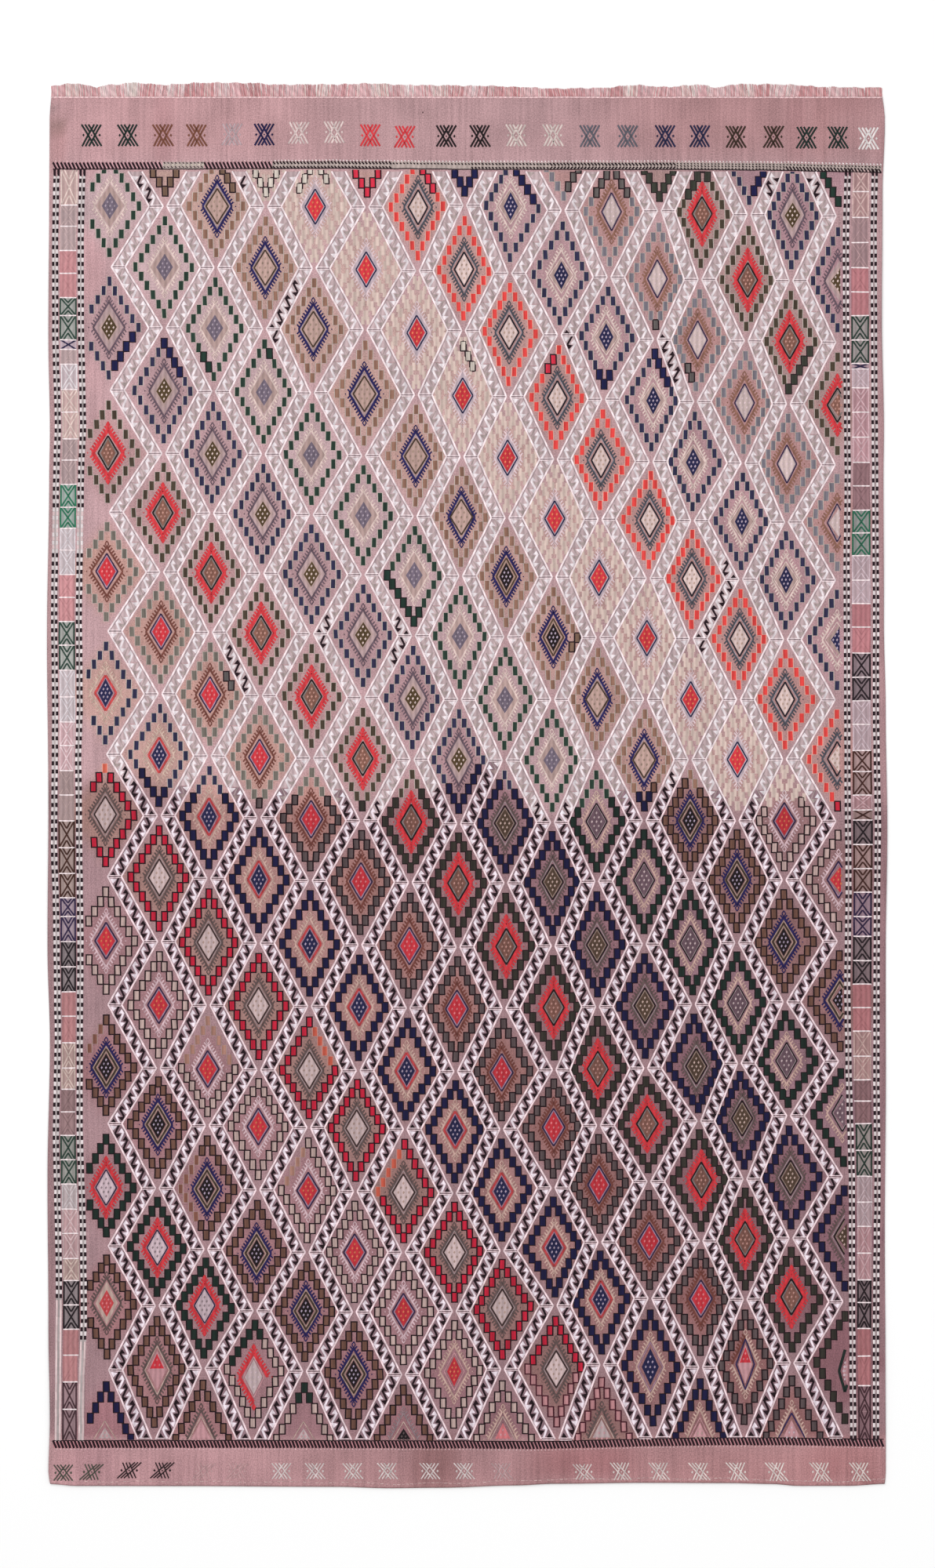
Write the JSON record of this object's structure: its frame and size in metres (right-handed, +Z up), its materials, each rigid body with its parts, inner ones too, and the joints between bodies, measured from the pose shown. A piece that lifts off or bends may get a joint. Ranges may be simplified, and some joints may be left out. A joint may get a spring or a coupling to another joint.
{
  "type": "kilim rug",
  "caption": "Rectangular flat-woven wool kilim laid flat, brocaded with a lattice of hooked diamonds, with side borders, a turned hem and a short warp fringe.",
  "frame": {"origin": "middle of the rug's underside, on the floor, fringe included", "axes": "+Z up out of the patterned face, +Y along the rug's length towards the fringed end, +X across the width"},
  "size_m": [1.7557, 2.9415, 0.0046],
  "materials": {
    "pink_wool": "matt hand-woven wool",
    "warp_wool": "matt unravelled wool warp"
  },
  "bodies": {
    "root": {"kilim_cloth": "pink_wool", "fringe_top": "warp_wool"}
  },
  "joints": []
}
